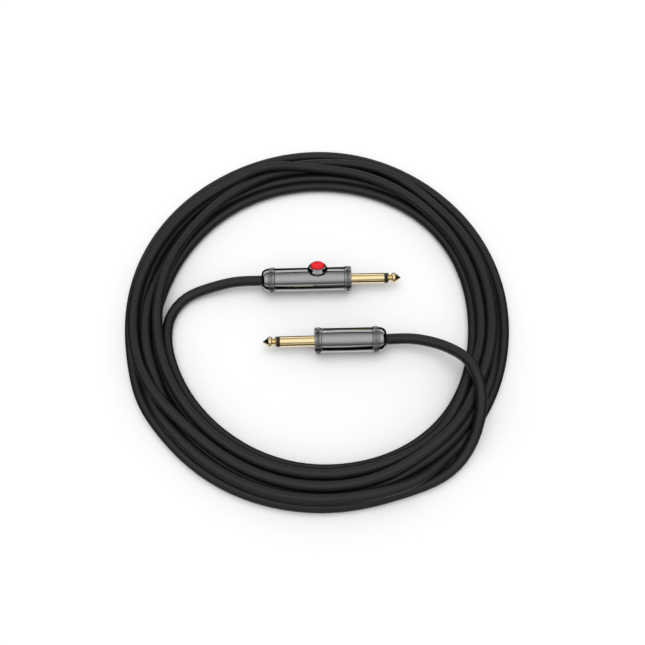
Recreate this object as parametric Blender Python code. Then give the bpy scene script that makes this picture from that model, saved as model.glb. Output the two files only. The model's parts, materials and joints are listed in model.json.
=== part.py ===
"""Instrument cable: a cord wound into a ring, with two straight 6.35 mm phone plugs inside it.

Metres, +Z up, everything resting on z = 0. Both plugs lie along X: the mute plug, which has a push
button in its barrel, points along +X, and the plain plug points along -X. The origin is on the floor
at the centre of the box around the two plugs.

Each plug is modelled in its own frame, in millimetres: X runs along its axis towards the tip, from
the front face of the front collar, so the shaft is at positive X and the body at negative X. The
switch is modelled about its own press axis, as its local Z, from the plug's axis outwards.
"""

import math

import bmesh
import bpy
from mathutils import Vector

MM = 0.001
GAP = 0.3  # left between two pieces that touch on the real object

# Shaft, which follows the standard 6.35 mm mono phone plug.
SHAFT_R = 3.175
SHAFT_LENGTH = 30.8
SLEEVE_LENGTH = 20.5
TIP_START = 22.5
ROD_R = 1.15

# Bodies of the plugs.
COLLAR_R = 8.0
FRONT_COLLAR_WIDTH = 4.3
REAR_COLLAR_WIDTH = 4.1
CAP_LENGTH = 4.4
BARREL_R = 7.4
BARREL_BORE = 6.3
SPIGOT_R = 6.0
SPIGOT_DEPTH = 5.2
CAP_SPIGOT_DEPTH = 5.0
MUTE_BARREL_LENGTH = 42.4
PLAIN_BARREL_LENGTH = 29.6
PLUG_SPACING = 41.4
ROUND_SIDES = 24
SHAFT_SIDES = 20

# Cord.
CORD_R = 3.2
CORD_HOLE_R = 3.5
MUTE_JACKET_END = -31.5
PLAIN_JACKET_END = -24.0

# Mute switch, in its own frame.
SWITCH_PLACE = -20.65
SWITCH_TILT = math.radians(28)
BUTTON_R = 4.15
BEZEL_BORE = 4.45
BEZEL_RIM_R = 4.95
BEZEL_RIM_HEIGHT = 10.0
BEZEL_BASE_R = 6.15
BEZEL_BASE_HEIGHT = 7.75
HOUSING_TOP = 3.4

# Ring of cord: the coil's centre, and its inner and outer edges at bearings around it.
COIL_CENTRE = Vector((-9.4, 2.0))
COIL_HEIGHT = 12.8
COIL_STATIONS = 64
COIL_EDGES = (
    (0, 92.2, 116.5),
    (45, 92.0, 117.5),
    (90, 89.0, 120.9),
    (125, 90.5, 120.5),
    (160, 92.2, 118.0),
    (184, 95.4, 117.0),
    (192, 97.0, 117.5),
    (194, 89.6, 117.5),
    (225, 90.5, 119.5),
    (270, 95.0, 121.1),
    (302, 97.5, 124.3),
    (304, 97.5, 117.6),
    (319, 96.5, 115.0),
    (335, 94.5, 116.0),
)
LEAD_STEP = 15.0  # spacing of the points along a tube


def look(name, colour, metallic, roughness):
    """A material made of one Principled BSDF."""
    finish = bpy.data.materials.new(name)
    finish.use_nodes = True
    shader = finish.node_tree.nodes["Principled BSDF"]
    shader.inputs["Base Color"].default_value = (*colour, 1.0)
    shader.inputs["Metallic"].default_value = metallic
    shader.inputs["Roughness"].default_value = roughness
    return finish


def empty(name, parent=None, place=(0, 0, 0), turn=(0, 0, 0)):
    """A frame that pieces are parented to."""
    frame = bpy.data.objects.new(name, None)
    frame.parent = parent
    frame.location = place
    frame.rotation_euler = turn
    bpy.context.collection.objects.link(frame)
    return frame


def add(name, data, finish, parent):
    """An object with its material, parented to a frame."""
    piece = bpy.data.objects.new(name, data)
    data.materials.append(finish)
    piece.parent = parent
    bpy.context.collection.objects.link(piece)
    return piece


def finish_mesh(name, bm, finish, parent):
    """Closes a bmesh into an object, smooth where it is round."""
    bmesh.ops.remove_doubles(bm, verts=bm.verts, dist=1e-7)
    bmesh.ops.recalc_face_normals(bm, faces=bm.faces)
    mesh = bpy.data.meshes.new(name)
    bm.to_mesh(mesh)
    bm.free()
    mesh.shade_smooth()
    mesh.set_sharp_from_angle(angle=math.radians(35))
    return add(name, mesh, finish, parent)


def turned(name, outline, finish, parent, sides=ROUND_SIDES, about="X"):
    """A body of revolution. The outline's points are (along, radius) in mm, and it closes on itself
    unless it starts and ends on the axis. One facet faces straight down."""
    bm = bmesh.new()
    first = math.pi / sides
    points = []
    for along, radius in outline:
        side, drop = radius * math.sin(first), -radius * math.cos(first)
        place = (along, side, drop) if about == "X" else (side, drop, along)
        points.append(bm.verts.new(Vector(place) * MM))
    edges = [bm.edges.new(pair) for pair in zip(points, points[1:])]
    if outline[0][1] > 0:
        edges.append(bm.edges.new((points[-1], points[0])))
    axis = (1, 0, 0) if about == "X" else (0, 0, 1)
    bmesh.ops.spin(
        bm, geom=points + edges, cent=(0, 0, 0), axis=axis, angle=math.tau, steps=sides, use_merge=True
    )
    return finish_mesh(name, bm, finish, parent)


def tube_wall(start, end, outer, inner):
    """The outline of a plain ring or tube."""
    return [(start, inner), (start, outer), (end, outer), (end, inner)]


def prism(name, outline, start, end, finish, parent):
    """A flat outline of (side, up) points in mm, extruded along X."""
    bm = bmesh.new()
    face = bm.faces.new([bm.verts.new(Vector((start, side, up)) * MM) for side, up in outline])
    grown = bmesh.ops.extrude_face_region(bm, geom=[face])
    moved = [item for item in grown["geom"] if isinstance(item, bmesh.types.BMVert)]
    bmesh.ops.translate(bm, verts=moved, vec=Vector((end - start, 0, 0)) * MM)
    return finish_mesh(name, bm, finish, parent)


def block(name, low, high, finish, parent):
    """A rectangular block between two corners, in mm."""
    outline = [(low[1], low[2]), (high[1], low[2]), (high[1], high[2]), (low[1], high[2])]
    return prism(name, outline, low[0], high[0], finish, parent)


def combine(piece, tool, operation):
    """A live Boolean. The tool itself isn't part of the object."""
    step = piece.modifiers.new(operation.lower(), "BOOLEAN")
    step.operation = operation
    step.solver = "EXACT"
    step.object = tool
    tool.hide_render = True
    tool.display_type = "WIRE"


def wire(name, points, radius, finish, parent, resolution=2):
    """A round wire or tube with closed ends along points in mm."""
    curve = bpy.data.curves.new(name, "CURVE")
    curve.dimensions = "3D"
    curve.bevel_depth = radius * MM
    curve.bevel_resolution = resolution
    curve.render_resolution_u = 0
    curve.use_fill_caps = True
    path = curve.splines.new("POLY")
    path.points.add(len(points) - 1)
    for spot, point in zip(path.points, points):
        spot.co = (*(Vector(point) * MM), 1.0)
    return add(name, curve, finish, parent)


def smooth_route(route, step):
    """Points about one step apart on a smooth curve through the route's own points."""
    ends = [route[0] * 2 - route[1], *route, route[-1] * 2 - route[-2]]
    points = [route[0]]
    for before, start, end, after in zip(ends, ends[1:], ends[2:], ends[3:]):
        reach = (end - start).length
        into = (end - before).normalized() * reach
        out = (after - start).normalized() * reach
        count = max(1, round(reach / step))
        for index in range(1, count + 1):
            t = index / count
            points.append(
                start * (2 * t**3 - 3 * t**2 + 1)
                + into * (t**3 - 2 * t**2 + t)
                + end * (3 * t**2 - 2 * t**3)
                + out * (t**3 - t**2)
            )
    return points


def shaft(prefix, frame, gold, plastic):
    """Everything on the plug's centre rod, from the tip back to the rivet that holds the stack."""
    rivet_start = -14.4
    rivet_end = -15.1
    turned(
        prefix + "_tip",
        [
            (rivet_end, 0),
            (rivet_end, 1.8),
            (rivet_start, 1.8),
            (rivet_start, ROD_R),
            (TIP_START, ROD_R),
            (TIP_START, 3.1),
            (TIP_START + 0.45, 3.1),
            (23.9, 1.65),
            (24.6, 1.65),
            (25.2, 2.4),
            (25.8, 2.95),
            (26.4, SHAFT_R),
            (27.1, 3.05),
            (30.4, 0.4),
            (SHAFT_LENGTH, 0),
        ],
        gold,
        frame,
        SHAFT_SIDES,
    )
    ring = tube_wall(SLEEVE_LENGTH + GAP, TIP_START - GAP, 3.1, 1.45)
    turned(prefix + "_tip_ring", ring, plastic, frame, SHAFT_SIDES)
    turned(prefix + "_rod_insulator", tube_wall(-11.9, 20.2, 1.9, 1.45), plastic, frame, 12)
    turned(
        prefix + "_sleeve",
        [
            (SLEEVE_LENGTH, 2.2),
            (SLEEVE_LENGTH, SHAFT_R),
            (-9.9, SHAFT_R),
            (-9.9, 4.6),
            (-10.9, 4.6),
            (-10.9, 2.2),
        ],
        gold,
        frame,
        SHAFT_SIDES,
    )


def lugs(prefix, frame, jacket_end, brass, plastic):
    """The stack behind the sleeve: the ground lug with its cord clamp, a washer and the tip lug."""
    clamp_start = jacket_end - 0.6
    clamp_end = jacket_end - 4.2
    ground = turned(prefix + "_ground_lug", tube_wall(-11.2, -11.8, 4.6, 2.2), brass, frame, 16)
    strip = block(prefix + "_lug_strip", (clamp_end + 0.5, -1.5, -4.55), (-11.5, 1.5, -3.95), brass, frame)
    bends = [math.radians(angle) for angle in range(-200, 21, 20)]
    wings = [(4.15 * math.cos(bend), 4.15 * math.sin(bend)) for bend in bends]
    wings += [(3.55 * math.cos(bend), 3.55 * math.sin(bend)) for bend in reversed(bends)]
    clamp = prism(prefix + "_cord_clamp", wings, clamp_end, clamp_start, brass, frame)
    combine(ground, strip, "UNION")
    combine(ground, clamp, "UNION")
    turned(prefix + "_lug_washer", tube_wall(-12.1, -13.1, 3.6, 1.45), plastic, frame, 16)
    tip_lug = turned(prefix + "_tip_lug", tube_wall(-13.4, -14.1, 3.0, 1.45), brass, frame, 16)
    tab = block(prefix + "_lug_tab", (-17.5, -1.0, -2.8), (-13.75, 1.0, -2.2), brass, frame)
    combine(tip_lug, tab, "UNION")


def conductors(prefix, frame, jacket_end, core_drop, copper, insulation):
    """The cord's own conductors inside the body: the insulated core and the twisted shield."""
    start = jacket_end + GAP
    core = [Vector((start, 0, 0)), *core_drop, Vector((-19.3, 0, -2.45)), Vector((-17.8, 0, -2.5))]
    wire(prefix + "_core_wire", smooth_route(core, 2.0), 0.95, insulation, frame, 1)
    shield = [
        Vector((start, 1.9, -1.2)),
        Vector((start + 1.4, 1.7, -2.5)),
        Vector((start + 3.0, 1.0, -3.1)),
    ]
    wire(prefix + "_shield_wire", smooth_route(shield, 1.2), 0.5, copper, frame, 1)


def collar_outline(front, back, bore):
    """A grip collar with small chamfers, its flats COLLAR_R from the axis."""
    corner = COLLAR_R / math.cos(math.pi / ROUND_SIDES)
    return [
        (front, bore),
        (front, corner - 0.5),
        (front - 0.4, corner),
        (back + 0.4, corner),
        (back, corner - 0.5),
        (back, bore),
    ]


def body(prefix, frame, barrel_length, liner_end, chrome, rubber, plastic):
    """The turned casing: front collar, barrel, rear collar and end cap, with the liner and gland."""
    front = collar_outline(0, -FRONT_COLLAR_WIDTH, SPIGOT_R)
    spigot_end = -FRONT_COLLAR_WIDTH - SPIGOT_DEPTH
    front = [(0, CORD_HOLE_R), *front[1:], (spigot_end, SPIGOT_R), (spigot_end, CORD_HOLE_R)]
    turned(prefix + "_front_collar", front, chrome, frame)
    barrel_end = -FRONT_COLLAR_WIDTH - barrel_length
    wall = tube_wall(-FRONT_COLLAR_WIDTH - GAP, barrel_end, BARREL_R, BARREL_BORE)
    barrel = turned(prefix + "_barrel", wall, chrome, frame)
    turned(prefix + "_liner", tube_wall(-9.9, liner_end, 5.9, 5.3), plastic, frame, 16)
    collar_end = barrel_end - REAR_COLLAR_WIDTH
    rear = collar_outline(barrel_end - GAP, collar_end, BARREL_BORE)
    turned(prefix + "_rear_collar", rear, chrome, frame)
    dome = collar_end - GAP
    end = collar_end - CAP_LENGTH
    seat = dome - 1.2
    mouth = barrel_end + CAP_SPIGOT_DEPTH
    cap = [(mouth, 5.0), (mouth, SPIGOT_R), (dome, SPIGOT_R), (dome, BARREL_R)]
    for step in range(1, 5):
        bend = math.radians(20 * step)
        cap.append((dome + (end - dome) * math.sin(bend), 4.0 + (BARREL_R - 4.0) * math.cos(bend)))
    cap += [(end, 4.0), (end, CORD_HOLE_R), (seat, CORD_HOLE_R), (seat, 5.0)]
    turned(prefix + "_end_cap", cap, chrome, frame)
    gland = tube_wall(mouth - 0.6, seat + GAP, 4.65, CORD_HOLE_R)
    turned(prefix + "_cord_gland", gland, rubber, frame, 16)
    return barrel


def mute_switch(frame, barrel, chrome, red, plastic, brass, steel):
    """The push switch that shorts the tip to ground, with its bezel and button, in the barrel."""
    axis = empty("mute_switch_axis", frame, (SWITCH_PLACE * MM, 0, 0), (-SWITCH_TILT, 0, 0))
    wall_hole = turned("barrel_hole", [(2.0, 0), (2.0, 5.1), (12.0, 5.1), (12.0, 0)], chrome, axis, about="Z")
    combine(barrel, wall_hole, "DIFFERENCE")

    skirt = [
        (BEZEL_BASE_HEIGHT, 0),
        (BEZEL_BASE_HEIGHT, BEZEL_BASE_R),
        (BEZEL_BASE_HEIGHT + 0.35, BEZEL_BASE_R),
        (BEZEL_RIM_HEIGHT, BEZEL_RIM_R),
        (BEZEL_RIM_HEIGHT, 0),
    ]
    bezel = turned("mute_plug_bezel", skirt, chrome, axis, about="Z")
    neck = turned("bezel_neck", [(3.7, 0), (3.7, 4.75), (9.0, 4.75), (9.0, 0)], chrome, axis, about="Z")
    bore = [(3.0, 0), (3.0, BEZEL_BORE), (12.0, BEZEL_BORE), (12.0, 0)]
    bore = turned("bezel_bore", bore, chrome, axis, about="Z")
    combine(bezel, neck, "UNION")
    combine(bezel, bore, "DIFFERENCE")

    button = [
        (11.8, 0),
        (11.7, 1.6),
        (11.4, 2.9),
        (11.0, 3.7),
        (10.5, BUTTON_R),
        (5.2, BUTTON_R),
        (5.2, 3.5),
        (8.6, 3.5),
        (8.6, 0),
    ]
    turned("mute_plug_button", button, red, axis, about="Z")
    turned("mute_plug_plunger", [(3.1, 0), (3.1, 1.4), (8.3, 1.4), (8.3, 0)], plastic, axis, 12, about="Z")
    moving_contact = [(2.3, 0), (2.3, 2.1), (2.8, 2.1), (2.8, 0)]
    turned("mute_plug_moving_contact", moving_contact, brass, axis, 12, about="Z")
    spring_r, spring_start, spring_end, turns, per_turn = 2.5, 4.0, 8.0, 4, 10
    coil = []
    for index in range(turns * per_turn + 1):
        bend = math.tau * index / per_turn
        rise = spring_start + (spring_end - spring_start) * index / (turns * per_turn)
        coil.append((spring_r * math.cos(bend), spring_r * math.sin(bend), rise))
    wire("mute_plug_spring", coil, 0.25, steel, axis, 1)

    housing = block("mute_plug_switch_housing", (-5.0, -3.4, 0.0), (5.0, 3.4, HOUSING_TOP), plastic, axis)
    well = [(0.55, 0), (0.55, 2.5), (4.5, 2.5), (4.5, 0)]
    well = turned("housing_well", well, plastic, axis, 16, about="Z")
    combine(housing, well, "DIFFERENCE")
    for label, place in (("tip", 1.3), ("ground", -1.3)):
        pin_axis = empty("contact_axis_" + label, axis, (place * MM, -1.0 * MM, 0))
        pin = [(-0.5, 0), (-0.5, 0.45), (0.8, 0.45), (0.8, 0)]
        hole = [(-0.4, 0), (-0.4, 0.75), (1.0, 0.75), (1.0, 0)]
        turned("mute_plug_contact_" + label, pin, brass, pin_axis, 10, about="Z")
        hole = turned("contact_hole_" + label, hole, plastic, pin_axis, 10, about="Z")
        combine(housing, hole, "DIFFERENCE")


def switch_leads(frame, insulation):
    """The two short leads that join the switch to the plug's lugs."""
    tip = [Vector((-19.2, -1.25, -0.6)), Vector((-17.4, -2.2, -0.9)), Vector((-14.5, -2.3, -0.8))]
    ground = [Vector((-21.8, -1.25, -0.6)), Vector((-23.4, -2.3, -1.8)), Vector((-25.1, -1.6, -3.2))]
    wire("mute_plug_switch_lead_tip", smooth_route(tip, 1.5), 0.35, insulation, frame, 1)
    wire("mute_plug_switch_lead_ground", smooth_route(ground, 1.5), 0.35, insulation, frame, 1)


def coil_edges(bearing):
    """The ring's inner and outer edge at a bearing in degrees, eased between the stations."""
    stations = [*COIL_EDGES, (360 + COIL_EDGES[0][0], *COIL_EDGES[0][1:])]
    for start, end in zip(stations, stations[1:]):
        if bearing <= end[0]:
            part = (bearing - start[0]) / (end[0] - start[0])
            ease = part * part * (3 - 2 * part)
            return tuple(start[side] + (end[side] - start[side]) * ease for side in (1, 2))


def cord_coil(finish):
    """The wound ring as one closed solid, flat underneath. Each lead runs into a small shoulder."""
    bearings = [360 * index / COIL_STATIONS for index in range(COIL_STATIONS)]
    shoulders = [192, 194, 302, 304]
    bearings = [angle for angle in bearings if min(abs(angle - other) for other in shoulders) > 2]
    bm = bmesh.new()
    rings = []
    for bearing in sorted(bearings + shoulders):
        inner, outer = coil_edges(bearing)
        section = [
            (inner + 1.5, 0),
            (outer - 1.5, 0),
            (outer, 1.6),
            (outer, 5.0),
            (outer - 3, 9.6),
            (outer - 8, COIL_HEIGHT),
            (inner + 8, COIL_HEIGHT),
            (inner + 3, 9.6),
            (inner, 5.0),
            (inner, 1.6),
        ]
        turn = math.radians(bearing)
        ring = []
        for radius, height in section:
            place = COIL_CENTRE + Vector((math.cos(turn), math.sin(turn))) * radius
            ring.append(bm.verts.new(Vector((place.x, place.y, height)) * MM))
        rings.append(ring)
    for ring, following in zip(rings, rings[1:] + rings[:1]):
        for index in range(len(ring)):
            after = (index + 1) % len(ring)
            bm.faces.new((ring[index], ring[after], following[after], following[index]))
    return finish_mesh("cord_coil", bm, finish, None)


def lead(name, start, route, finish):
    """One uncoiled stretch of the cord, from its end inside a plug to where the coil takes it in."""
    points = smooth_route([start, *(Vector(point) for point in route)], LEAD_STEP)
    return wire(name, points, CORD_R, finish, None, 3)


def build():
    """The whole cable."""
    for existing in list(bpy.data.objects):
        bpy.data.objects.remove(existing, do_unlink=True)

    chrome = look("black_chrome", (0.12, 0.12, 0.125), 1.0, 0.2)
    gold = look("polished_gold", (0.86, 0.62, 0.26), 1.0, 0.16)
    brass = look("brass", (0.72, 0.56, 0.28), 1.0, 0.3)
    copper = look("copper", (0.78, 0.42, 0.26), 1.0, 0.35)
    steel = look("spring_steel", (0.6, 0.6, 0.6), 1.0, 0.3)
    plastic = look("black_plastic", (0.02, 0.02, 0.02), 0.0, 0.4)
    insulation = look("white_insulation", (0.8, 0.8, 0.78), 0.0, 0.45)
    red = look("red_button", (0.72, 0.02, 0.03), 0.0, 0.22)
    rubber = look("gland_rubber", (0.03, 0.03, 0.03), 0.0, 0.7)
    jacket = look("cord_jacket", (0.035, 0.035, 0.037), 0.0, 0.55)

    half_length = (mute_body_length() + SHAFT_LENGTH) / 2
    facet = math.cos(math.pi / ROUND_SIDES)
    rim_reach = BEZEL_RIM_HEIGHT * math.sin(SWITCH_TILT) + BEZEL_RIM_R * facet * math.cos(SWITCH_TILT)
    mute_x = half_length - SHAFT_LENGTH
    mute_y = (PLUG_SPACING - rim_reach + COLLAR_R) / 2
    plain_x = -11.0
    plain_y = mute_y - PLUG_SPACING

    mute = empty("mute_plug_axis", None, Vector((mute_x, mute_y, COLLAR_R)) * MM)
    plain = empty("plain_plug_axis", None, Vector((plain_x, plain_y, COLLAR_R)) * MM, (0, 0, math.pi))

    shaft("mute_plug", mute, gold, plastic)
    lugs("mute_plug", mute, MUTE_JACKET_END, brass, plastic)
    core = [Vector((-29.6, 0, -0.5)), Vector((-27.6, 0, -1.8)), Vector((-25.0, 0, -2.35))]
    conductors("mute_plug", mute, MUTE_JACKET_END, core, copper, insulation)
    barrel = body("mute_plug", mute, MUTE_BARREL_LENGTH, -15.2, chrome, rubber, plastic)
    mute_switch(mute, barrel, chrome, red, plastic, brass, steel)
    switch_leads(mute, insulation)

    shaft("plain_plug", plain, gold, plastic)
    lugs("plain_plug", plain, PLAIN_JACKET_END, brass, plastic)
    core = [Vector((-22.4, 0, -0.4)), Vector((-20.9, 0, -1.8))]
    conductors("plain_plug", plain, PLAIN_JACKET_END, core, copper, insulation)
    body("plain_plug", plain, PLAIN_BARREL_LENGTH, -28.3, chrome, rubber, plastic)

    cord_coil(jacket)
    lead(
        "cord_lead_a",
        Vector((mute_x + MUTE_JACKET_END, mute_y, COLLAR_R)),
        [
            (-45.0, mute_y, 8.0),
            (-59.0, 20.4, 6.9),
            (-72.5, 18.3, 5.2),
            (-85.0, 14.4, 3.8),
            (-94.0, 8.0, 3.3),
            (-99.2, -1.6, 3.25),
            (-100.4, -17.0, 3.25),
        ],
        jacket,
    )
    lead(
        "cord_lead_b",
        Vector((plain_x - PLAIN_JACKET_END, plain_y, COLLAR_R)),
        [
            (32.0, plain_y, 8.0),
            (46.0, plain_y, 8.1),
            (58.0, -24.4, 9.6),
            (69.0, -31.0, 13.2),
            (76.8, -39.8, 16.2),
            (80.4, -48.6, 17.0),
            (81.0, -57.8, 16.6),
            (80.4, -66.8, 14.4),
            (78.4, -75.5, 10.4),
            (74.8, -84.0, 6.0),
            (69.0, -92.2, 3.6),
            (59.4, -100.6, 3.25),
        ],
        jacket,
    )


def mute_body_length():
    """The mute plug's body, from the front collar's face to the end of its cap."""
    return FRONT_COLLAR_WIDTH + MUTE_BARREL_LENGTH + REAR_COLLAR_WIDTH + CAP_LENGTH


build()
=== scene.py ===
"""An instrument cable: a wound cord with a quarter inch phone plug at each end.

One of the plugs has a mute button.
"""

import json
import math

import bpy
import numpy as np
from mathutils import Euler, Matrix, Vector

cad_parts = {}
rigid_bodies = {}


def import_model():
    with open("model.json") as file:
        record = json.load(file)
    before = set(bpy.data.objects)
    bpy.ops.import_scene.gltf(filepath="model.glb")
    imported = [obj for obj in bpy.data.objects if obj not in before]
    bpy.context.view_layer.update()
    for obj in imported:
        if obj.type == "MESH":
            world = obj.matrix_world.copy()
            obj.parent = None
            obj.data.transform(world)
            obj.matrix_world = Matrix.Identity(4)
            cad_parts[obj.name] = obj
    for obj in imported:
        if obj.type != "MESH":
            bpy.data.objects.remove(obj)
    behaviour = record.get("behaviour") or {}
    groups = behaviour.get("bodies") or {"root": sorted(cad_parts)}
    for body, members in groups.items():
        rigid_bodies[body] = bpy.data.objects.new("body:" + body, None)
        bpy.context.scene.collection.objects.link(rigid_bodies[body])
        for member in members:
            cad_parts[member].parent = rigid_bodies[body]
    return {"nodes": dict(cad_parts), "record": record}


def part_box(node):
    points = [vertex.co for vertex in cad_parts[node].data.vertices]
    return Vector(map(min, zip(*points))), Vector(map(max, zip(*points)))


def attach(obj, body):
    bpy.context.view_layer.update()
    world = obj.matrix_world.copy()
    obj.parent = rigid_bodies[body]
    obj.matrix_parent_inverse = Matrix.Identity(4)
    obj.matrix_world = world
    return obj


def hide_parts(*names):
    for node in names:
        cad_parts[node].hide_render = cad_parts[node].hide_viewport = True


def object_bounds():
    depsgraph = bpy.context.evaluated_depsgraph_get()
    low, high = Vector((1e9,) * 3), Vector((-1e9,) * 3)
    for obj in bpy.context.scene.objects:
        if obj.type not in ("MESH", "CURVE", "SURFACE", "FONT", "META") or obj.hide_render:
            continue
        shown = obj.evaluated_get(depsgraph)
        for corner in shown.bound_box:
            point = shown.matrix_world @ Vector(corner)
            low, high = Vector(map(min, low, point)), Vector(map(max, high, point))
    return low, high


bl_info = {
    "name": "Instrument Cable",
    "version": (1, 0, 0),
    "blender": (4, 5, 0),
    "location": "3D View > Sidebar > Instrument Cable",
    "description": "Models a wound instrument cable with two knurled phone plugs and a mute button",
    "category": "Add Mesh",
}

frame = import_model()
cad_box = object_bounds()

MM = 0.001
TURN = math.tau

PLUGS = ("mute", "plain")


def plug_place(plug):
    """The plug's axes: the origin in the middle of the front collar's face, X towards the tip."""
    low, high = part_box(plug + "_plug_front_collar")
    middle = (low + high) / 2
    if plug == "mute":
        return Matrix.Translation((high.x, middle.y, middle.z))
    return Matrix.Translation((low.x, middle.y, middle.z)) @ Matrix.Rotation(math.pi, 4, "Z")


# The body that each plug's outer shell rides on.
BODY_OF = {"mute": "cable", "plain": "plain_plug_shell"}

# Sizes of the plugs' parts, in millimetres.
BARREL_LENGTH = {"mute": 42.4, "plain": 29.6}
FRONT_COLLAR_WIDTH = 4.3
REAR_COLLAR_WIDTH = 4.1
CAP_LENGTH = 4.4
CAP_SPIGOT_DEPTH = 5.0
BARREL_R = 7.4
BARREL_BORE = 6.3
SPIGOT_R = 6.0
SPIGOT_DEPTH = 5.2
CORD_HOLE_R = 3.5
SEAM = 0.1  # the fine line left open between two screwed parts

SWITCH_TILT = math.radians(28)
SMOOTH_ANGLE = math.radians(35)
KNURL_SMOOTH_ANGLE = math.radians(12)
SHAFT_SIDES = 64
BEZEL_SIDES = 80
SIDES = 96
BARREL_SIDES = 128


# ---------------------------------------------------------------- settings


class CordSettings(bpy.types.PropertyGroup):
    """What a user would change on the cord."""

    diameter: bpy.props.FloatProperty(
        name="Diameter",
        description="Outside diameter of the jacket",
        default=6.4 * MM,
        unit="LENGTH",
        precision=4,
    )
    length: bpy.props.FloatProperty(
        name="Length",
        description="Real length of the cord from plug to plug",
        default=4.5,
        unit="LENGTH",
    )
    jacket: bpy.props.FloatVectorProperty(
        name="Jacket",
        description="Colour of the jacket",
        default=(0.011, 0.011, 0.0115),
        size=3,
        subtype="COLOR",
    )


class PlugSettings(bpy.types.PropertyGroup):
    """What a user would change on the plugs."""

    chrome: bpy.props.FloatVectorProperty(
        name="Black chrome",
        description="Colour of the plated casing",
        default=(0.335, 0.335, 0.339),
        size=3,
        subtype="COLOR",
    )
    gold: bpy.props.FloatVectorProperty(
        name="Gold",
        description="Colour of the plated shaft",
        default=(0.93, 0.74, 0.42),
        size=3,
        subtype="COLOR",
    )
    knurl_depth: bpy.props.FloatProperty(
        name="Knurl depth",
        description="How far the knurl's points stand up",
        default=0.45 * MM,
        unit="LENGTH",
        precision=5,
    )
    button: bpy.props.FloatVectorProperty(
        name="Button",
        description="Colour of the mute button",
        default=(0.75, 0.006, 0.014),
        size=3,
        subtype="COLOR",
    )


class StageSettings(bpy.types.PropertyGroup):
    """What a user would change on the stage."""

    floor: bpy.props.FloatVectorProperty(
        name="Floor",
        description="Colour of the floor",
        default=(0.9, 0.9, 0.9),
        size=3,
        subtype="COLOR",
    )
    sky: bpy.props.FloatProperty(
        name="Sky",
        description="Strength of the even light from all round",
        default=0.87,
    )
    key: bpy.props.FloatProperty(
        name="Key light",
        description="Brightness of the light above",
        default=1.35,
    )


# ---------------------------------------------------------------- surfaces


# How much broader the drift in colour and polish is than the fine grain.
BROAD_SHARE = 22


def surface(
    name, light, dark, metallic, roughness, spread, grain, depth,
    stretch=(1, 1, 1), follows=None, **sockets,
):
    """A finish whose colour, roughness and height vary finely over the piece, from dark to light.

    Its colour follows the piece's own attribute instead where one is named.
    """
    name += "_finish"  # the CAD's own materials already have the plain names
    found = bpy.data.materials.get(name)
    if found:
        return found
    material = bpy.data.materials.new(name)
    material.use_nodes = True
    nodes, link = material.node_tree.nodes, material.node_tree.links.new
    shader = nodes["Principled BSDF"]
    shader.inputs["Metallic"].default_value = metallic
    for socket, value in sockets.items():
        shader.inputs[socket.replace("_", " ")].default_value = value
    place = nodes.new("ShaderNodeTexCoord")
    mapping = nodes.new("ShaderNodeMapping")
    mapping.inputs["Scale"].default_value = stretch
    fine = nodes.new("ShaderNodeTexNoise")
    fine.inputs["Scale"].default_value = grain
    fine.inputs["Detail"].default_value = 3
    broad = nodes.new("ShaderNodeTexNoise")
    broad.inputs["Scale"].default_value = grain / BROAD_SHARE
    broad.inputs["Detail"].default_value = 5
    tone = nodes.new("ShaderNodeMix")
    tone.data_type = "RGBA"
    tone.inputs["A"].default_value = (*dark, 1)
    tone.inputs["B"].default_value = (*light, 1)
    polish = nodes.new("ShaderNodeMapRange")
    polish.inputs["From Min"].default_value = 0.3
    polish.inputs["From Max"].default_value = 0.7
    polish.inputs["To Min"].default_value = roughness - spread
    polish.inputs["To Max"].default_value = roughness + spread
    bump = nodes.new("ShaderNodeBump")
    bump.inputs["Strength"].default_value = 1
    bump.inputs["Distance"].default_value = depth
    link(place.outputs["Object"], mapping.inputs["Vector"])
    link(mapping.outputs["Vector"], fine.inputs["Vector"])
    link(mapping.outputs["Vector"], broad.inputs["Vector"])
    if follows:
        marks = nodes.new("ShaderNodeAttribute")
        marks.attribute_name = follows
        link(marks.outputs["Fac"], tone.inputs["Factor"])
    else:
        link(broad.outputs["Fac"], tone.inputs["Factor"])
    link(tone.outputs["Result"], shader.inputs["Base Color"])
    link(broad.outputs["Fac"], polish.inputs["Value"])
    link(polish.outputs["Result"], shader.inputs["Roughness"])
    link(fine.outputs["Fac"], bump.inputs["Height"])
    link(bump.outputs["Normal"], shader.inputs["Normal"])
    return material


def shade(colour, share):
    """The colour at a share of its strength."""
    return tuple(part * share for part in colour)


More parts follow.
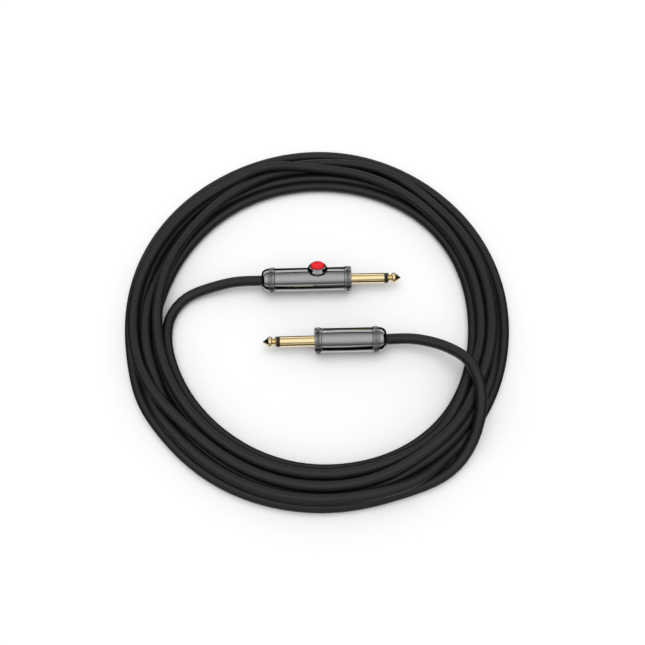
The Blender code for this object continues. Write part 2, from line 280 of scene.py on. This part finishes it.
def finishes():
    """Every finish of the cable, by its slot."""
    plugs = bpy.context.scene.plug_settings
    jacket = tuple(bpy.context.scene.cord_settings.jacket)
    chrome, gold, red = tuple(plugs.chrome), tuple(plugs.gold), tuple(plugs.button)
    turning = (14, 1, 1)
    return {
        "cord_jacket": surface(
            "cord_jacket", jacket, shade(jacket, 0.75), 0, 0.4, 0.05, 3200, 0.00001,
            Specular_IOR_Level=0.32,
        ),
        "polished_gold": surface(
            "polished_gold", gold, shade(gold, 0.9), 1, 0.2, 0.03, 700, 0.0000012, turning
        ),
        "black_chrome": surface(
            "black_chrome", chrome, shade(chrome, 0.92), 1, 0.13, 0.02, 700, 0.0000012, turning
        ),
        # Painted highlight and painted shade: the knurl's raised points get the light colour and
        # its valleys the dark one, following each point's height.
        "knurled_black_chrome": surface(
            "knurled_black_chrome", shade(chrome, 1.6), shade(chrome, 0.25), 1, 0.16, 0.03, 2500,
            0.000002, follows="knurl_painted_light_and_shade",
        ),
        "bezel_chrome": surface(
            "bezel_chrome", shade(chrome, 0.95), shade(chrome, 0.8), 1, 0.1, 0.02, 900, 0.000001
        ),
        "red_button": surface(
            "red_button", red, shade(red, 0.85), 0, 0.3, 0.04, 1500, 0.000004,
            Specular_IOR_Level=0.25,
        ),
        "gland_rubber": surface(
            "gland_rubber", (0.03, 0.03, 0.03), (0.018, 0.018, 0.018), 0, 0.62, 0.08, 2600, 0.00002
        ),
        "spring_steel": surface(
            "spring_steel", (0.62, 0.61, 0.59), (0.45, 0.44, 0.43), 1, 0.28, 0.06, 3000, 0.000004
        ),
        "copper_braid": surface(
            "copper_braid", (0.8, 0.42, 0.26), (0.55, 0.26, 0.15), 1, 0.35, 0.08, 5000, 0.00004
        ),
        "wire_insulation": surface(
            "wire_insulation", (0.78, 0.78, 0.75), (0.68, 0.68, 0.64), 0, 0.42, 0.05, 1800, 0.000008
        ),
        "brass_terminal": surface(
            "brass_terminal", (0.74, 0.57, 0.28), (0.55, 0.4, 0.18), 1, 0.34, 0.08, 1600, 0.000006,
            (1, 9, 1),
        ),
        "black_plastic": surface(
            "black_plastic", (0.016, 0.014, 0.014), (0.01, 0.009, 0.009), 0, 0.4, 0.06, 2200,
            0.00001, Specular_IOR_Level=0.25,
        ),
    }


def dress(piece, slot, body, *nodes):
    """Gives a new piece its finish, its body and the CAD nodes that it stands for."""
    piece.data.materials.clear()
    piece.data.materials.append(finishes()[slot])
    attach(piece, body)
    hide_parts(*nodes)
    return piece


# ---------------------------------------------------------------- the cord

COIL_CENTRE = Vector((-9.4, 2.0))

# The leads from inside each plug to the coil, in millimetres.
LEAD_A = (
    (-19.3, 20.186, 8.0),
    (-45.0, 20.186, 8.0),
    (-59.0, 20.4, 6.9),
    (-72.5, 18.3, 5.2),
    (-85.0, 14.4, 3.8),
    (-94.0, 8.0, 3.3),
    (-99.2, -1.6, 3.25),
    (-100.4, -17.0, 3.25),
)
LEAD_B = (
    (13.0, -21.214, 8.0),
    (32.0, -21.214, 8.0),
    (46.0, -21.214, 8.1),
    (58.0, -24.4, 9.6),
    (69.0, -31.0, 13.2),
    (76.8, -39.8, 16.2),
    (80.4, -48.6, 17.0),
    (81.0, -57.8, 16.6),
    (80.4, -66.8, 14.4),
    (78.4, -75.5, 10.4),
    (74.8, -84.0, 6.0),
    (69.0, -92.2, 3.6),
    (59.4, -100.6, 3.25),
)
LEAD_STEP = 3.0

TURNS = 6
STATION_STEP = 2.5  # degrees between the coil's points
FIRST_BEARING = 177.5
LAST_BEARING = 360 * TURNS + 330.0
LEAD_A_JOINS = 191.8
LEAD_B_JOINS = 360 * TURNS + 303.9
LEAD_A_BEARINGS = (170, 200)  # where the lead to the mute plug lies in the coil
# Bearings of one turn's stations, from the left round by the bottom.
STATIONS = (187, 230, 271, 311, 352, 400, 444, 484, 517)
# For each turn, at each station: the cord's distance from the centre and its height, in
# millimetres.
LANES = (
    (
        (92.5, 3.2), (94.2, 3.2), (98.5, 3.2), (101.2, 3.2), (95.5, 3.2),
        (95.3, 3.2), (92.3, 3.2), (93.0, 3.2), (94.8, 3.2),
    ),
    (
        (99.6, 3.2), (100.7, 3.2), (105.0, 3.2), (107.6, 3.2), (102.4, 3.2),
        (101.7, 3.2), (98.7, 3.2), (99.7, 3.2), (101.8, 3.2),
    ),
    (
        (103.5, 8.2), (107.2, 3.2), (111.4, 3.2), (111.7, 8.1), (107.9, 6.4),
        (107.6, 4.5), (105.2, 3.2), (99.6, 8.8), (96.8, 8.8),
    ),
    (
        (96.6, 8.8), (97.5, 8.8), (101.7, 8.8), (104.2, 8.8), (99.2, 8.8),
        (98.9, 8.8), (102.0, 8.8), (107.4, 8.8), (109.2, 8.8),
    ),
    (
        (110.7, 8.8), (104.1, 8.8), (108.1, 8.8), (107.4, 13.6), (104.8, 11.0),
        (105.0, 9.2), (111.6, 3.2), (108.0, 3.2), (108.4, 3.2),
    ),
    (
        (107.5, 3.2), (111.6, 8.0), (115.4, 8.2), (115.9, 3.2), (113.6, 3.2),
        (114.8, 3.2), (117.8, 3.2), (116.4, 3.2), (115.4, 3.2),
    ),
    (
        (113.9, 3.2), (116.4, 3.2), (118.0, 3.2), (121.6, 3.2),
    ),
)

# How the coil settles: steps, the step after which it eases, and each force's share per step.
SETTLE_STEPS = 900
EASE_AFTER = 650
EASE = 0.2
FALL = 0.02
PULL = 0.05
STIFFNESS = 0.5
PUSH = 0.6
PUSH_ROUNDS = 3
CORD_GAP = 2.008  # radii between two cords' middles
FLOOR_GAP = 0.02
JOIN_ROUNDS = 12


def smooth_route(route, step):
    """Points a step apart on a smooth curve through the route."""
    route = [Vector(point) for point in route]
    ends = [route[0] * 2 - route[1], *route, route[-1] * 2 - route[-2]]
    points = [route[0]]
    for before, start, end, after in zip(ends, ends[1:], ends[2:], ends[3:]):
        reach = (end - start).length
        into = (end - before).normalized() * reach
        out = (after - start).normalized() * reach
        count = max(1, round(reach / step))
        for index in range(1, count + 1):
            t = index / count
            points.append(
                start * (2 * t**3 - 3 * t**2 + 1)
                + into * (t**3 - 2 * t**2 + t)
                + end * (3 * t**2 - 2 * t**3)
                + out * (t**3 - t**2)
            )
    return np.array([list(point) for point in points])


def polar(points):
    """Bearing, radius about the coil's centre, and height."""
    offset = points[:, :2] - np.array(COIL_CENTRE)
    bearing = np.degrees(np.arctan2(offset[:, 1], offset[:, 0])) % 360
    return bearing, np.hypot(offset[:, 0], offset[:, 1]), points[:, 2]


def through(x, xs, ys):
    """A smooth curve through the given values."""
    xs, ys = np.array(xs, float), np.array(ys, float)
    slope = np.gradient(ys, xs)
    i = np.clip(np.searchsorted(xs, x) - 1, 0, len(xs) - 2)
    width = xs[i + 1] - xs[i]
    t = (x - xs[i]) / width
    return (
        (2 * t**3 - 3 * t**2 + 1) * ys[i]
        + (t**3 - 2 * t**2 + t) * width * slope[i]
        + (3 * t**2 - 2 * t**3) * ys[i + 1]
        + (t**3 - t**2) * width * slope[i + 1]
    )


def push_apart(place, free, per_turn, gap):
    """How far each point moves so that turns at the same bearing stay a diameter apart."""
    move = np.zeros_like(place)
    for turn in range(1, TURNS + 1):
        low = np.arange(len(place) - per_turn * turn)
        high = low + per_turn * turn
        apart = place[high] - place[low]
        distance = np.hypot(apart[:, 0], apart[:, 1])
        overlap = np.where(distance < gap, gap - distance, 0)
        push = (overlap / np.maximum(distance, 1e-6))[:, None] * apart
        share = free[low] + free[high]
        share = np.where(share > 0, share, 1)
        move[low] -= push * (free[low] / share)[:, None]
        move[high] += push * (free[high] / share)[:, None]
    return move


def cord_path(radius):
    """The cord's line from plug to plug, in millimetres: both leads and the settled coil."""
    lead_a, lead_b = smooth_route(LEAD_A, LEAD_STEP), smooth_route(LEAD_B, LEAD_STEP)
    bearing_a, out_a, up_a = polar(lead_a)
    bearing_b, out_b, up_b = polar(lead_b)
    third = len(bearing_b) // 3
    across = int(np.argmax(bearing_b[third:])) + third
    bearing = np.arange(FIRST_BEARING, LAST_BEARING + 0.01, STATION_STEP)
    place = np.empty((len(bearing), 2))
    stations, outs, ups = [], [], []
    for turn, lanes in enumerate(LANES):
        for station, (out, up) in zip(STATIONS, lanes):
            stations.append(station + 360 * turn)
            outs.append(out)
            ups.append(up)
    place[:, 0] = through(bearing, stations, outs)
    place[:, 1] = through(bearing, stations, ups)
    joined_a = bearing <= LEAD_A_JOINS
    near_a = (bearing_a > LEAD_A_BEARINGS[0]) & (bearing_a < LEAD_A_BEARINGS[1])
    place[joined_a, 0] = np.interp(bearing[joined_a], bearing_a[near_a], out_a[near_a])
    place[joined_a, 1] = np.interp(bearing[joined_a], bearing_a[near_a], up_a[near_a])
    joined_b = bearing >= LEAD_B_JOINS
    back = slice(len(bearing_b) - 1, across, -1)
    last_turn = bearing[joined_b] - 360 * TURNS
    place[joined_b, 0] = np.interp(last_turn, bearing_b[back], out_b[back])
    place[joined_b, 1] = np.interp(last_turn, bearing_b[back], up_b[back])
    innermost = bearing <= STATIONS[-1]
    last_pass = 360 * (TURNS - 1)
    outermost = (bearing >= last_pass + STATIONS[3]) & (bearing <= last_pass + STATIONS[-1])
    free = 1.0 - (joined_a | joined_b | innermost | outermost)
    wanted = place[:, 0].copy()
    per_turn = round(360 / STATION_STEP)
    for step in range(SETTLE_STEPS):
        ease = 1 if step < EASE_AFTER else EASE
        place[:, 1] -= FALL * ease * free
        place[:, 0] += PULL * ease * free * (wanted - place[:, 0])
        stiff = np.zeros_like(place)
        stiff[1:-1] = (place[:-2] + place[2:]) / 2 - place[1:-1]
        stiff[1:-1] = (stiff[:-2] + stiff[2:]) / 2 - stiff[1:-1]
        place -= STIFFNESS * stiff * free[:, None]
        for _ in range(PUSH_ROUNDS):
            place += PUSH * push_apart(place, free, per_turn, CORD_GAP * radius) * free[:, None]
            place[:, 1] = np.maximum(place[:, 1], radius + FLOOR_GAP)
    angle = np.radians(bearing)
    coil = np.stack(
        [
            COIL_CENTRE.x + place[:, 0] * np.cos(angle),
            COIL_CENTRE.y + place[:, 0] * np.sin(angle),
            place[:, 1],
        ],
        1,
    )
    near = np.linalg.norm(lead_a - coil[0], axis=1) < LEAD_STEP + 0.1
    start = lead_a[: int(np.argmax(near))]
    nearest = across + int(np.argmin(np.linalg.norm(lead_b[across:] - coil[-1], axis=1)))
    end = lead_b[: nearest - 1][::-1]
    path = np.concatenate([start, coil, end])
    for _ in range(JOIN_ROUNDS):
        path[2:-2] += 0.5 * ((path[1:-3] + path[3:-1]) / 2 - path[2:-2]) - 0.25 * (
            (path[:-4] + path[4:]) / 2 - path[2:-2]
        ) * 0.5
    return path


class CABLE_OT_cord(bpy.types.Operator):
    """Winds the cord into its coil, with a lead to each plug"""

    bl_idname = "cable.cord"
    bl_label = "Cord"

    def execute(self, context):
        settings = context.scene.cord_settings
        radius = settings.diameter / 2
        curve = bpy.data.curves.new("wound_cord", "CURVE")
        curve.dimensions = "3D"
        line = curve.splines.new("POLY")
        points = cord_path(radius / MM) * MM
        line.points.add(len(points) - 1)
        for knot, point in zip(line.points, points):
            knot.co = (*point, 1)
        curve.bevel_depth = radius
        curve.bevel_resolution = 8
        curve.use_fill_caps = True
        cord = bpy.data.objects.new("wound_cord", curve)
        context.scene.collection.objects.link(cord)
        dress(cord, "cord_jacket", "cable", "cord_coil", "cord_lead_a", "cord_lead_b")
        return {"FINISHED"}


# ---------------------------------------------------------------- turned parts


def clear_selection():
    """Object mode with nothing selected."""
    if bpy.context.mode != "OBJECT":
        bpy.ops.object.mode_set(mode="OBJECT")
    bpy.ops.object.select_all(action="DESELECT")


def pick(piece):
    """Selects one piece and makes it active."""
    clear_selection()
    piece.select_set(True)
    bpy.context.view_layer.objects.active = piece


def turned(name, outline, sides=SIDES):
    """Spins an outline of (along, radius) in millimetres about the X axis into a closed piece."""
    clear_selection()
    bpy.ops.mesh.primitive_plane_add(size=MM)
    piece = bpy.context.object
    piece.name = piece.data.name = name
    bpy.ops.object.mode_set(mode="EDIT")
    bpy.ops.mesh.select_all(action="SELECT")
    bpy.ops.mesh.merge(type="CENTER")
    along, out = outline[0]
    bpy.ops.transform.translate(value=(along * MM, 0, out * MM))
    for (from_along, from_out), (to_along, to_out) in zip(outline, outline[1:]):
        step = ((to_along - from_along) * MM, 0, (to_out - from_out) * MM)
        bpy.ops.mesh.extrude_vertices_move(TRANSFORM_OT_translate={"value": step})
    bpy.ops.mesh.select_all(action="SELECT")
    bpy.ops.mesh.spin(steps=sides, angle=TURN, center=(0, 0, 0), axis=(1, 0, 0))
    bpy.ops.mesh.select_all(action="SELECT")
    bpy.ops.mesh.remove_doubles(threshold=0.002 * MM)
    bpy.ops.mesh.normals_make_consistent(inside=False)
    bpy.ops.object.mode_set(mode="OBJECT")
    bpy.ops.object.shade_smooth_by_angle(angle=SMOOTH_ANGLE)
    return piece


def ring(outline):
    """The outline closed on itself, for a part with a hole right through."""
    return [*outline, outline[0]]


def placed(piece, matrix):
    """Moves a piece to its place and applies that to its mesh."""
    piece.matrix_world = matrix @ piece.matrix_world
    pick(piece)
    bpy.ops.object.transform_apply(location=True, rotation=True, scale=True)
    return piece


def copied(piece, name):
    """A copy of the piece with its own mesh."""
    pick(piece)
    bpy.ops.object.duplicate(linked=False)
    copy = bpy.context.object
    copy.name = copy.data.name = name
    return copy


def cut(piece, tool, operation="DIFFERENCE"):
    """Cuts the tool out of the piece, or joins it on, and removes the tool."""
    pick(piece)
    change = piece.modifiers.new("cut", "BOOLEAN")
    change.operation = operation
    change.object = tool
    change.solver = "EXACT"
    bpy.ops.object.modifier_apply(modifier=change.name)
    pick(tool)
    bpy.ops.object.delete()
    pick(piece)
    bpy.ops.object.shade_smooth_by_angle(angle=SMOOTH_ANGLE)
    return piece


def both_plugs(piece, part, slot, shift=None, shell=False):
    """Puts the piece on the mute plug and a copy of it on the plain plug."""
    pieces = {"mute": piece, "plain": copied(piece, "plain_" + part)}
    for plug, made in pieces.items():
        offset = Matrix.Translation((shift[plug] * MM if shift else 0, 0, 0))
        placed(made, plug_place(plug) @ offset)
        dress(made, slot, BODY_OF[plug] if shell else "cable", plug + "_plug_" + part)


class CABLE_OT_shafts(bpy.types.Operator):
    """Turns the gold shafts: the tip with its rod, the black ring and the sleeve"""

    bl_idname = "cable.shafts"
    bl_label = "Shafts"

    def execute(self, context):
        tip = [
            (-15.1, 0),
            (-15.1, 1.5),
            (-14.85, 1.8),
            (-14.4, 1.8),
            (-14.4, 1.15),
            (22.5, 1.15),
            (22.5, 2.9),
            (22.6, 3.08),
            (22.85, 3.1),
            (23.1, 2.95),
            (23.65, 2.1),
            (23.9, 1.8),
            (24.15, 1.67),
            (24.4, 1.67),
            (24.65, 1.85),
            (25.1, 2.45),
            (25.6, 2.88),
            (26.1, 3.12),
            (26.5, 3.175),
            (26.85, 3.13),
            (27.15, 2.98),
            (27.4, 2.78),
            (30.35, 0.42),
            (30.6, 0.24),
            (30.76, 0.1),
            (30.8, 0),
        ]
        both_plugs(turned("mute_tip", tip, SHAFT_SIDES), "tip", "polished_gold")
        sleeve = [
            (20.5, 2.2),
            (20.5, 3.02),
            (20.38, 3.14),
            (20.2, 3.175),
            (-9.9, 3.175),
            (-9.9, 4.5),
            (-10.0, 4.6),
            (-10.8, 4.6),
            (-10.9, 4.5),
            (-10.9, 2.2),
        ]
        both_plugs(turned("mute_sleeve", ring(sleeve), SHAFT_SIDES), "sleeve", "polished_gold")
        insulator = [
            (20.52, 1.45),
            (20.52, 2.98),
            (20.62, 3.1),
            (22.38, 3.1),
            (22.48, 2.98),
            (22.48, 1.45),
        ]
        piece = turned("mute_tip_ring", ring(insulator), SHAFT_SIDES)
        both_plugs(piece, "tip_ring", "black_plastic")
        return {"FINISHED"}


KNURL_BASE_R = 7.72
KNURL_WIDTH = 2.6
KNURL_ROWS = 4
KNURL_SIDES = 66
KNURL_FLAT = 0.29
# The knurl's height drives a painted highlight on its points and painted shade in its valleys, this
# many times over; the band's margin keeps an even middle tone without them.
KNURL_EDGE = 0.1  # the band's margin that keeps an even tone
KNURL_CONTRAST = 1.8


def collar_side(width):
    """The outside of a grip collar, front to back, with the knurled band's rows in the middle."""
    margin = (width - KNURL_WIDTH) / 2
    rim = [(0, 7.1), (-0.1, 7.42), (-0.3, 7.66), (-0.55, 7.74), (-margin + 0.12, 7.74)]
    rows = [
        (-margin - KNURL_WIDTH * row / KNURL_ROWS, KNURL_BASE_R) for row in range(KNURL_ROWS + 1)
    ]
    return rim + rows + [(-width - along, out) for along, out in reversed(rim)]


def select_points(piece, wanted):
    """Edit mode with only the points that the test wants selected."""
    pick(piece)
    bpy.ops.object.mode_set(mode="EDIT")
    bpy.ops.mesh.select_mode(type="VERT")
    bpy.ops.mesh.select_all(action="DESELECT")
    bpy.ops.object.mode_set(mode="OBJECT")
    for vertex in piece.data.vertices:
        out = math.hypot(vertex.co.y, vertex.co.z) / MM
        vertex.select = wanted(vertex.co.x / MM, out, math.atan2(vertex.co.y, vertex.co.z) / TURN)
    bpy.ops.object.mode_set(mode="EDIT")


def knurled(piece, start, depth):
    """Raises every other point of the band's rows, and flattens them as cut diamonds are."""
    pitch = KNURL_WIDTH / KNURL_ROWS

    def chosen(along, out, turn):
        row = (start - along) / pitch
        on_row = abs(row - round(row)) < 0.02 and 0 < round(row) < KNURL_ROWS
        on_base = abs(out - KNURL_BASE_R) < 0.005
        return on_row and on_base and (round(row) + round(turn * KNURL_SIDES)) % 2 == 0

    select_points(piece, chosen)
    grow = 1 + depth / MM / KNURL_BASE_R
    bpy.ops.transform.resize(value=(1, grow, grow), center_override=(0, 0, 0))
    bpy.ops.mesh.select_more()
    bpy.ops.mesh.quads_convert_to_tris(quad_method="SHORTEST_DIAGONAL")
    select_points(piece, lambda along, out, turn: out > KNURL_BASE_R + 0.5 * depth / MM)
    bpy.ops.mesh.bevel(offset=KNURL_FLAT * MM, affect="VERTICES", segments=1)
    bpy.ops.object.mode_set(mode="OBJECT")
    bpy.ops.object.shade_smooth_by_angle(angle=KNURL_SMOOTH_ANGLE)
    # Marks each point's height for the collar's painted light and shade: high points light as a
    # painted highlight, low ones dark as painted shade.
    height = piece.data.attributes.new("knurl_painted_light_and_shade", "FLOAT", "POINT")
    for vertex, mark in zip(piece.data.vertices, height.data):
        along, out = start - vertex.co.x / MM, math.hypot(vertex.co.y, vertex.co.z) / MM
        in_band = KNURL_EDGE < along < KNURL_WIDTH - KNURL_EDGE
        raised = KNURL_CONTRAST * (out - KNURL_BASE_R) * MM / depth
        mark.value = min(1, max(0, raised)) if in_band else 0.5
    return piece


class CABLE_OT_collars(bpy.types.Operator):
    """Turns and knurls the grip collars"""

    bl_idname = "cable.collars"
    bl_label = "Knurled collars"

    def execute(self, context):
        depth = context.scene.plug_settings.knurl_depth
        spigot_end = -FRONT_COLLAR_WIDTH - SPIGOT_DEPTH
        front = [
            (0, CORD_HOLE_R),
            *collar_side(FRONT_COLLAR_WIDTH),
            (-FRONT_COLLAR_WIDTH, SPIGOT_R),
            (spigot_end + 0.3, SPIGOT_R),
            (spigot_end, SPIGOT_R - 0.3),
            (spigot_end, CORD_HOLE_R),
        ]
        start = -(FRONT_COLLAR_WIDTH - KNURL_WIDTH) / 2
        piece = knurled(turned("mute_front_collar", ring(front), KNURL_SIDES), start, depth)
        both_plugs(piece, "front_collar", "knurled_black_chrome")
        width = REAR_COLLAR_WIDTH - SEAM
        rear = [(0, BARREL_BORE), *collar_side(width), (-width, BARREL_BORE)]
        start = -(width - KNURL_WIDTH) / 2
        piece = knurled(turned("mute_rear_collar", ring(rear), KNURL_SIDES), start, depth)
        shift = {plug: -FRONT_COLLAR_WIDTH - BARREL_LENGTH[plug] - SEAM for plug in PLUGS}
        both_plugs(piece, "rear_collar", "knurled_black_chrome", shift, shell=True)
        return {"FINISHED"}


def switch_place():
    """The switch's own axes: the origin on the barrel's axis, and X out through the button."""
    low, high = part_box("mute_plug_button")
    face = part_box("mute_plug_front_collar")[1]
    return (
        plug_place("mute")
        @ Matrix.Translation(((low.x + high.x) / 2 - face.x, 0, 0))
        @ Matrix.Rotation(-SWITCH_TILT, 4, "X")
        @ Matrix.Rotation(-math.pi / 2, 4, "Y")
    )


class CABLE_OT_barrels(bpy.types.Operator):
    """Turns the barrels, and drills the mute plug's for its switch"""

    bl_idname = "cable.barrels"
    bl_label = "Barrels"

    def execute(self, context):
        for plug in PLUGS:
            start = -FRONT_COLLAR_WIDTH - SEAM
            end = -FRONT_COLLAR_WIDTH - BARREL_LENGTH[plug]
            wall = [
                (start, BARREL_BORE),
                (start, BARREL_R - 0.18),
                (start - 0.06, BARREL_R - 0.06),
                (start - 0.18, BARREL_R),
                (end + 0.18, BARREL_R),
                (end + 0.06, BARREL_R - 0.06),
                (end, BARREL_R - 0.18),
                (end, BARREL_BORE),
            ]
            barrel = turned(plug + "_barrel", ring(wall), BARREL_SIDES)
            placed(barrel, plug_place(plug))
            if plug == "mute":
                hole = turned("switch_hole", [(2, 0), (2, 5.1), (12, 5.1), (12, 0)], SHAFT_SIDES)
                cut(barrel, placed(hole, switch_place()))
            dress(barrel, "black_chrome", BODY_OF[plug], plug + "_plug_barrel")
        return {"FINISHED"}


class CABLE_OT_end_caps(bpy.types.Operator):
    """Turns the domed caps that close the barrels round the cord"""

    bl_idname = "cable.end_caps"
    bl_label = "End caps"

    def execute(self, context):
        mouth = CAP_SPIGOT_DEPTH + REAR_COLLAR_WIDTH
        lip_r, lip = 4.1, 0.35
        cap = [
            (mouth, 5.0),
            (mouth, SPIGOT_R),
            (0, SPIGOT_R),
            (0, BARREL_R - 0.1),
            (-0.1, BARREL_R),
        ]
        for step in range(1, 13):
            bend = math.radians(90 * step / 12)
            along = -0.1 - (CAP_LENGTH - 0.1) * math.sin(bend)
            cap.append((along, lip_r + (BARREL_R - lip_r) * math.cos(bend)))
        for step in range(1, 5):
            bend = math.radians(90 * step / 4)
            along = -CAP_LENGTH + lip * (1 - math.cos(bend))
            cap.append((along, lip_r - (lip_r - CORD_HOLE_R) * math.sin(bend)))
        cap += [(-1.2, CORD_HOLE_R), (-1.2, 5.0)]
        shift = {
            plug: -FRONT_COLLAR_WIDTH - BARREL_LENGTH[plug] - REAR_COLLAR_WIDTH for plug in PLUGS
        }
        both_plugs(turned("mute_end_cap", ring(cap)), "end_cap", "black_chrome", shift, shell=True)
        return {"FINISHED"}


class CABLE_OT_mute_button(bpy.types.Operator):
    """Turns the switch's bezel with its neck through the barrel, and turns the button"""

    bl_idname = "cable.mute_button"
    bl_label = "Mute button"

    def execute(self, context):
        flange = [
            (7.75, 4.5),
            (7.5, 4.7),
            (7.5, 6.02),
            (7.56, 6.14),
            (7.7, 6.2),
            (7.84, 6.18),
            (7.98, 6.08),
            (9.6, 5.32),
            (9.8, 5.2),
            (9.95, 4.96),
            (10.0, 4.74),
            (9.95, 4.6),
            (9.8, 4.49),
            (9.6, 4.45),
            (7.75, 4.45),
        ]
        bezel = placed(turned("mute_bezel", ring(flange), BEZEL_SIDES), switch_place())
        neck = [(3.7, 4.45), (3.7, 4.75), (9.0, 4.75), (9.0, 4.45)]
        neck = placed(turned("neck", ring(neck), BEZEL_SIDES), switch_place())
        cut(bezel, neck, "UNION")
        dress(bezel, "bezel_chrome", "cable", "mute_plug_bezel")
        cap = [
            (11.8, 0),
            (11.78, 0.8),
            (11.72, 1.6),
            (11.6, 2.4),
            (11.4, 3.05),
            (11.12, 3.6),
            (10.78, 3.95),
            (10.4, 4.12),
            (10.0, 4.15),
            (5.2, 4.15),
            (5.2, 3.5),
            (8.6, 3.5),
            (8.6, 0),
        ]
        button = placed(turned("push_button", cap, SHAFT_SIDES), switch_place())
        dress(button, "red_button", "mute_button", "mute_plug_button")
        return {"FINISHED"}


class CABLE_OT_inner_parts(bpy.types.Operator):
    bl_idname = "cable.inner_parts"
    bl_label = "Inner parts"

    def execute(self, context):
        made = finishes()
        for part in frame["record"]["subparts"]:
            node = frame["nodes"][part["node"]]
            for slot in node.material_slots:
                slot.material = made[part["material_slot"]]
        return {"FINISHED"}


# ---------------------------------------------------------------- stage

# Long soft panels round the plugs: their edges in degrees from straight up towards the front,
# and how bright.
PANELS = (
    (-84, -57, 1.4),
    (-46, -30, 0.5),
    (-30, -18, 0.8),
    (-18, -4, 1.05),
    (-4, 34, 1.2),
    (34, 50, 0.9),
    (50, 62, 0.4),
    (62, 72, 0.2),
    (76, 94, 1.1),
    (128, 142, 0.65),
    (142, 162, 1.6),
    (162, 205, 0.5),
)
PANEL_DISTANCE = 0.7
PANEL_LENGTH = 1.9
PLUG_HEIGHT = 0.008
KEY_DISTANCE = 1.1
KEY_TILT = math.radians(6)
KEY_SIZE = (1.2, 0.9)

CAMERA_AIM = Vector((-6.1, -9.3, 8.0)) * MM
CAMERA_DISTANCE = 0.38
CAMERA_LEAN = math.radians(25)
CAMERA_ROLL = math.radians(-1.3)
CAMERA_LENS = 35.35


def panel(name, location, rotation, size, brightness):
    """A rectangular soft light of the given brightness."""
    clear_selection()
    bpy.ops.object.light_add(type="AREA", location=location, rotation=rotation)
    light = bpy.context.object
    light.name = light.data.name = name
    light.data.shape = "RECTANGLE"
    light.data.size, light.data.size_y = size
    light.data.energy = brightness * math.pi * size[0] * size[1]
    light.visible_camera = False
    return light


class CABLE_OT_stage(bpy.types.Operator):
    """Lays the floor, hangs the lights and sets up the camera"""

    bl_idname = "cable.stage"
    bl_label = "Stage"

    def execute(self, context):
        settings = context.scene.stage_settings
        clear_selection()
        bpy.ops.mesh.primitive_grid_add(x_subdivisions=8, y_subdivisions=8, size=8)
        floor = context.object
        floor.name = "floor"
        colour = tuple(settings.floor)
        paint = surface("pale_floor", colour, shade(colour, 0.995), 0, 0.85, 0.03, 900, 0.000004)
        floor.data.materials.append(paint)
        floor.visible_glossy = False

        world = bpy.data.worlds.new("studio")
        context.scene.world = world
        world.use_nodes = True
        sky = world.node_tree.nodes["Background"]
        sky.inputs["Color"].default_value = (1, 1, 1, 1)
        sky.inputs["Strength"].default_value = settings.sky
        world.cycles_visibility.glossy = False

        low, high = cad_box
        middle = Vector(((low[0] + high[0]) / 2, 0, PLUG_HEIGHT))
        for index, (start, end, brightness) in enumerate(PANELS):
            angle = math.radians((start + end) / 2)
            width = 2 * PANEL_DISTANCE * math.tan(math.radians((end - start) / 2))
            place = middle + PANEL_DISTANCE * Vector((0, -math.sin(angle), math.cos(angle)))
            size = (PANEL_LENGTH, width)
            light = panel(f"panel_{index}", place, (angle, 0, 0), size, brightness)
            light.visible_diffuse = False
        place = middle + KEY_DISTANCE * Vector((0, math.sin(KEY_TILT), math.cos(KEY_TILT)))
        key = panel("key", place, (-KEY_TILT, 0, 0), KEY_SIZE, settings.key)
        key.visible_glossy = False

        bpy.ops.object.camera_add()
        camera = context.object
        camera.name = "camera"
        back = Vector((0, -math.sin(CAMERA_LEAN), math.cos(CAMERA_LEAN)))
        camera.matrix_world = (
            Matrix.Translation(CAMERA_AIM + CAMERA_DISTANCE * back)
            @ Euler((CAMERA_LEAN, 0, 0)).to_matrix().to_4x4()
            @ Matrix.Rotation(CAMERA_ROLL, 4, "Z")
        )
        camera.data.lens = CAMERA_LENS
        camera.data.sensor_width = 36
        camera.data.clip_start = 0.01
        context.scene.camera = camera
        context.scene.view_settings.view_transform = "Standard"
        return {"FINISHED"}


# ---------------------------------------------------------------- add-on

STEPS = (
    CABLE_OT_cord,
    CABLE_OT_shafts,
    CABLE_OT_collars,
    CABLE_OT_barrels,
    CABLE_OT_end_caps,
    CABLE_OT_mute_button,
    CABLE_OT_inner_parts,
    CABLE_OT_stage,
)


class CABLE_PT_panel(bpy.types.Panel):
    """Lists the steps that make the cable."""

    bl_idname = "CABLE_PT_panel"
    bl_label = "Instrument Cable"
    bl_space_type = "VIEW_3D"
    bl_region_type = "UI"
    bl_category = "Instrument Cable"

    def draw(self, context):
        for step in STEPS:
            self.layout.operator(step.bl_idname)
        for group in ("cord_settings", "plug_settings", "stage_settings"):
            settings = getattr(context.scene, group)
            for name in settings.__annotations__:
                self.layout.prop(settings, name)


CLASSES = (CordSettings, PlugSettings, StageSettings, *STEPS, CABLE_PT_panel)


def register():
    for made in CLASSES:
        bpy.utils.register_class(made)
    bpy.types.Scene.cord_settings = bpy.props.PointerProperty(type=CordSettings)
    bpy.types.Scene.plug_settings = bpy.props.PointerProperty(type=PlugSettings)
    bpy.types.Scene.stage_settings = bpy.props.PointerProperty(type=StageSettings)


def unregister():
    for group in ("cord_settings", "plug_settings", "stage_settings"):
        delattr(bpy.types.Scene, group)
    for made in reversed(CLASSES):
        bpy.utils.unregister_class(made)


def main():
    """Registers the add-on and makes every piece."""
    register()
    for step in STEPS:
        getattr(bpy.ops.cable, step.bl_idname.split(".")[1])()


if __name__ == "__main__":
    main()
